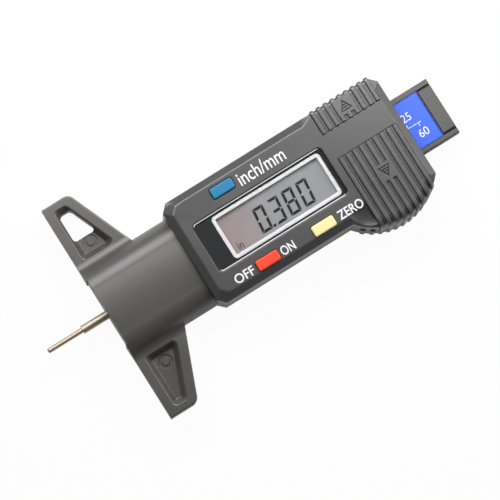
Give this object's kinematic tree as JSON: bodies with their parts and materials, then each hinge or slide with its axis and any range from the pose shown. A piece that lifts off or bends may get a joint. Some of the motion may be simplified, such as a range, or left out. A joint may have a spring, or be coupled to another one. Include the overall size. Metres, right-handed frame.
{
  "type": "tire tread gauge",
  "caption": "Digital tire tread depth gauge: T-shaped foot, display housing with three buttons, sliding beam and stepped probe.",
  "frame": {"origin": "on the probe's axis, in the plane of the foot face that sits on the tread", "axes": "+X along the probe towards the beam's free end, +Y towards the unit button, +Z out of the display"},
  "size_m": [0.1143, 0.06, 0.0157],
  "materials": {
    "body_plastic": "fine matte moulded plastic",
    "cover_plastic": "fine matte moulded plastic",
    "plate_plastic": "matte moulded plastic",
    "screw_steel": "satin",
    "probe_steel": "turned, satin",
    "spring_metal": "phosphor bronze",
    "contact_metal": "nickel plated",
    "cell_steel": "bright nickel",
    "pad_gold": "gold plated",
    "board_green": "solder mask",
    "chip_black": "cured resin",
    "rubber_black": "soft",
    "lcd_glass": "grey polariser",
    "frame_white": "satin",
    "window_clear": "clear, polished",
    "gasket_black": "adhesive foam",
    "button_blue": "satin",
    "button_red": "satin",
    "button_yellow": "satin",
    "beam_plastic": "matte",
    "label_blue": "printed film",
    "strip_green": "circuit laminate",
    "label_grey": "plain film"
  },
  "bodies": {
    "housing": {"base_frame": "body_plastic", "nose_plate": "plate_plastic", "back_plate": "plate_plastic", "cover_screws": "screw_steel", "plate_screws": "screw_steel", "stop_screw": "screw_steel", "back_label": "label_grey", "front_cover": "cover_plastic", "display_window": "window_clear", "display_gasket": "gasket_black", "display_frame": "frame_white", "lcd_panel": "lcd_glass", "zebra_strips": "rubber_black", "circuit_board": "board_green", "chip_blob": "chip_black", "board_screws": "screw_steel", "port_pads": "pad_gold", "button_domes": "contact_metal", "button_cell": "cell_steel", "battery_contact_minus": "contact_metal", "battery_contact_plus": "contact_metal", "gib_spring": "spring_metal"},
    "beam": {"slide_beam": "beam_plastic", "scale_strip": "strip_green", "scale_label": "label_blue", "beam_end_cap": "beam_plastic", "probe_pin": "probe_steel", "probe_set_screw": "screw_steel"},
    "unit_button": {"unit_button": "button_blue"},
    "power_button": {"power_button": "button_red"},
    "zero_button": {"zero_button": "button_yellow"},
    "battery_cover": {"battery_cover": "cover_plastic"},
    "port_cover": {"port_cover": "cover_plastic"}
  },
  "joints": [
    {"name": "beam_slide", "type": "slide", "parent": "housing", "child": "beam", "axis": [-1, 0, 0], "range_m": [-0.0168, 0.0086]},
    {"name": "unit_button_press", "type": "slide", "parent": "housing", "child": "unit_button", "axis": [0, 0, -1], "range_m": [0, 0.0004], "stiffness_N_per_m": 2500, "springref_m": -0.0002},
    {"name": "power_button_press", "type": "slide", "parent": "housing", "child": "power_button", "axis": [0, 0, -1], "range_m": [0, 0.0004], "stiffness_N_per_m": 2500, "springref_m": -0.0002},
    {"name": "zero_button_press", "type": "slide", "parent": "housing", "child": "zero_button", "axis": [0, 0, -1], "range_m": [0, 0.0004], "stiffness_N_per_m": 2500, "springref_m": -0.0002},
    {"name": "battery_cover_slide", "type": "slide", "parent": "housing", "child": "battery_cover", "axis": [0, -1, 0], "range_m": [0, 0.02]},
    {"name": "port_cover_slide", "type": "slide", "parent": "housing", "child": "port_cover", "axis": [0, 1, 0], "range_m": [0, 0.012]}
  ]
}
